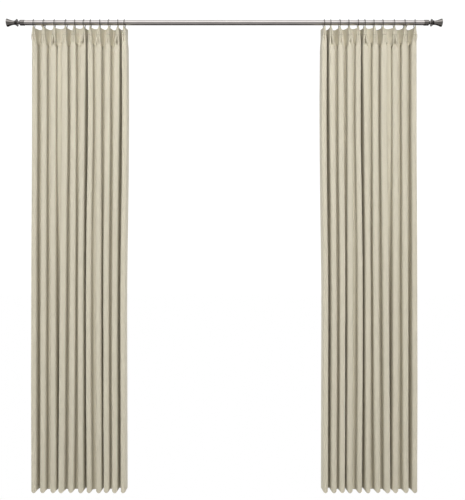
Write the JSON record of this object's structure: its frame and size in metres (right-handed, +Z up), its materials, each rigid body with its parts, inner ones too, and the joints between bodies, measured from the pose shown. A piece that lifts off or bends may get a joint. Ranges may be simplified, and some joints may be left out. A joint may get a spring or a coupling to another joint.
{
  "type": "pair of curtains on a rod",
  "caption": "Pair of full-length pinch-pleated curtain panels hung by metal rings on a round rod with hourglass finials and slim wall brackets; both panels draw along the rod.",
  "frame": {"origin": "on the rod's axis, midway between the two finials", "axes": "+X along the rod to the viewer's right, +Y away from the room towards the wall, +Z up"},
  "size_m": [2.29, 0.126, 2.4875],
  "materials": {
    "linen_fabric": "matt woven linen look, oatmeal",
    "rod_nickel": "satin nickel plate on a steel tube",
    "finial_nickel": "polished satin nickel",
    "ring_nickel": "polished nickel wire",
    "bracket_nickel": "satin nickel plate",
    "zinc_steel": "plain zinc-plated steel"
  },
  "bodies": {
    "root": {"rod_splice": "zinc_steel", "left_rod": "rod_nickel", "left_end_cap": "finial_nickel", "left_finial_stud": "zinc_steel", "left_finial": "finial_nickel", "left_bracket_arm": "bracket_nickel", "left_lock_screw": "zinc_steel", "left_wall_plate": "bracket_nickel", "right_rod": "rod_nickel", "right_end_cap": "finial_nickel", "right_finial_stud": "zinc_steel", "right_finial": "finial_nickel", "right_bracket_arm": "bracket_nickel", "right_lock_screw": "zinc_steel", "right_wall_plate": "bracket_nickel"},
    "left_pleat_01": {"left_ring_01": "ring_nickel", "left_fabric_01": "linen_fabric"},
    "left_pleat_02": {"left_ring_02": "ring_nickel", "left_fabric_02": "linen_fabric"},
    "left_pleat_03": {"left_ring_03": "ring_nickel", "left_fabric_03": "linen_fabric"},
    "left_pleat_04": {"left_ring_04": "ring_nickel", "left_fabric_04": "linen_fabric"},
    "left_pleat_05": {"left_ring_05": "ring_nickel", "left_fabric_05": "linen_fabric"},
    "left_pleat_06": {"left_ring_06": "ring_nickel", "left_fabric_06": "linen_fabric"},
    "left_pleat_07": {"left_ring_07": "ring_nickel", "left_fabric_07": "linen_fabric"},
    "left_pleat_08": {"left_ring_08": "ring_nickel", "left_fabric_08": "linen_fabric"},
    "left_pleat_09": {"left_ring_09": "ring_nickel", "left_fabric_09": "linen_fabric"},
    "left_pleat_10": {"left_ring_10": "ring_nickel", "left_fabric_10": "linen_fabric"},
    "left_pleat_11": {"left_ring_11": "ring_nickel", "left_fabric_11": "linen_fabric"},
    "right_pleat_01": {"right_ring_01": "ring_nickel", "right_fabric_01": "linen_fabric"},
    "right_pleat_02": {"right_ring_02": "ring_nickel", "right_fabric_02": "linen_fabric"},
    "right_pleat_03": {"right_ring_03": "ring_nickel", "right_fabric_03": "linen_fabric"},
    "right_pleat_04": {"right_ring_04": "ring_nickel", "right_fabric_04": "linen_fabric"},
    "right_pleat_05": {"right_ring_05": "ring_nickel", "right_fabric_05": "linen_fabric"},
    "right_pleat_06": {"right_ring_06": "ring_nickel", "right_fabric_06": "linen_fabric"},
    "right_pleat_07": {"right_ring_07": "ring_nickel", "right_fabric_07": "linen_fabric"},
    "right_pleat_08": {"right_ring_08": "ring_nickel", "right_fabric_08": "linen_fabric"},
    "right_pleat_09": {"right_ring_09": "ring_nickel", "right_fabric_09": "linen_fabric"},
    "right_pleat_10": {"right_ring_10": "ring_nickel", "right_fabric_10": "linen_fabric"},
    "right_pleat_11": {"right_ring_11": "ring_nickel", "right_fabric_11": "linen_fabric"}
  },
  "joints": [
    {"name": "left_slide_01", "type": "slide", "parent": "root", "child": "left_pleat_01", "axis": [1, 0, 0], "range_m": [0, 0.0245]},
    {"name": "left_draw", "type": "slide", "parent": "left_pleat_01", "child": "left_pleat_02", "axis": [1, 0, 0], "range_m": [0, 0.0475]},
    {"name": "left_slide_03", "type": "slide", "parent": "left_pleat_02", "child": "left_pleat_03", "axis": [1, 0, 0], "range_m": [0, 0.0475]},
    {"name": "left_slide_04", "type": "slide", "parent": "left_pleat_03", "child": "left_pleat_04", "axis": [1, 0, 0], "range_m": [0, 0.0475]},
    {"name": "left_slide_05", "type": "slide", "parent": "left_pleat_04", "child": "left_pleat_05", "axis": [1, 0, 0], "range_m": [0, 0.0475]},
    {"name": "left_slide_06", "type": "slide", "parent": "left_pleat_05", "child": "left_pleat_06", "axis": [1, 0, 0], "range_m": [0, 0.0475]},
    {"name": "left_slide_07", "type": "slide", "parent": "left_pleat_06", "child": "left_pleat_07", "axis": [1, 0, 0], "range_m": [0, 0.0475]},
    {"name": "left_slide_08", "type": "slide", "parent": "left_pleat_07", "child": "left_pleat_08", "axis": [1, 0, 0], "range_m": [0, 0.0475]},
    {"name": "left_slide_09", "type": "slide", "parent": "left_pleat_08", "child": "left_pleat_09", "axis": [1, 0, 0], "range_m": [0, 0.0475]},
    {"name": "left_slide_10", "type": "slide", "parent": "left_pleat_09", "child": "left_pleat_10", "axis": [1, 0, 0], "range_m": [0, 0.0475]},
    {"name": "left_slide_11", "type": "slide", "parent": "left_pleat_10", "child": "left_pleat_11", "axis": [1, 0, 0], "range_m": [0, 0.0475]},
    {"name": "right_slide_01", "type": "slide", "parent": "root", "child": "right_pleat_01", "axis": [-1, 0, 0], "range_m": [0, 0.0245]},
    {"name": "right_draw", "type": "slide", "parent": "right_pleat_01", "child": "right_pleat_02", "axis": [-1, 0, 0], "range_m": [0, 0.0475]},
    {"name": "right_slide_03", "type": "slide", "parent": "right_pleat_02", "child": "right_pleat_03", "axis": [-1, 0, 0], "range_m": [0, 0.0475]},
    {"name": "right_slide_04", "type": "slide", "parent": "right_pleat_03", "child": "right_pleat_04", "axis": [-1, 0, 0], "range_m": [0, 0.0475]},
    {"name": "right_slide_05", "type": "slide", "parent": "right_pleat_04", "child": "right_pleat_05", "axis": [-1, 0, 0], "range_m": [0, 0.0475]},
    {"name": "right_slide_06", "type": "slide", "parent": "right_pleat_05", "child": "right_pleat_06", "axis": [-1, 0, 0], "range_m": [0, 0.0475]},
    {"name": "right_slide_07", "type": "slide", "parent": "right_pleat_06", "child": "right_pleat_07", "axis": [-1, 0, 0], "range_m": [0, 0.0475]},
    {"name": "right_slide_08", "type": "slide", "parent": "right_pleat_07", "child": "right_pleat_08", "axis": [-1, 0, 0], "range_m": [0, 0.0475]},
    {"name": "right_slide_09", "type": "slide", "parent": "right_pleat_08", "child": "right_pleat_09", "axis": [-1, 0, 0], "range_m": [0, 0.0475]},
    {"name": "right_slide_10", "type": "slide", "parent": "right_pleat_09", "child": "right_pleat_10", "axis": [-1, 0, 0], "range_m": [0, 0.0475]},
    {"name": "right_slide_11", "type": "slide", "parent": "right_pleat_10", "child": "right_pleat_11", "axis": [-1, 0, 0], "range_m": [0, 0.0475]}
  ],
  "couplings": [
    {"joint": "left_slide_01", "follows": "left_draw", "ratio": 0.5},
    {"joint": "left_slide_03", "follows": "left_draw", "ratio": 1},
    {"joint": "left_slide_04", "follows": "left_draw", "ratio": 1},
    {"joint": "left_slide_05", "follows": "left_draw", "ratio": 1},
    {"joint": "left_slide_06", "follows": "left_draw", "ratio": 1},
    {"joint": "left_slide_07", "follows": "left_draw", "ratio": 1},
    {"joint": "left_slide_08", "follows": "left_draw", "ratio": 1},
    {"joint": "left_slide_09", "follows": "left_draw", "ratio": 1},
    {"joint": "left_slide_10", "follows": "left_draw", "ratio": 1},
    {"joint": "left_slide_11", "follows": "left_draw", "ratio": 1},
    {"joint": "right_slide_01", "follows": "right_draw", "ratio": 0.5},
    {"joint": "right_slide_03", "follows": "right_draw", "ratio": 1},
    {"joint": "right_slide_04", "follows": "right_draw", "ratio": 1},
    {"joint": "right_slide_05", "follows": "right_draw", "ratio": 1},
    {"joint": "right_slide_06", "follows": "right_draw", "ratio": 1},
    {"joint": "right_slide_07", "follows": "right_draw", "ratio": 1},
    {"joint": "right_slide_08", "follows": "right_draw", "ratio": 1},
    {"joint": "right_slide_09", "follows": "right_draw", "ratio": 1},
    {"joint": "right_slide_10", "follows": "right_draw", "ratio": 1},
    {"joint": "right_slide_11", "follows": "right_draw", "ratio": 1}
  ]
}
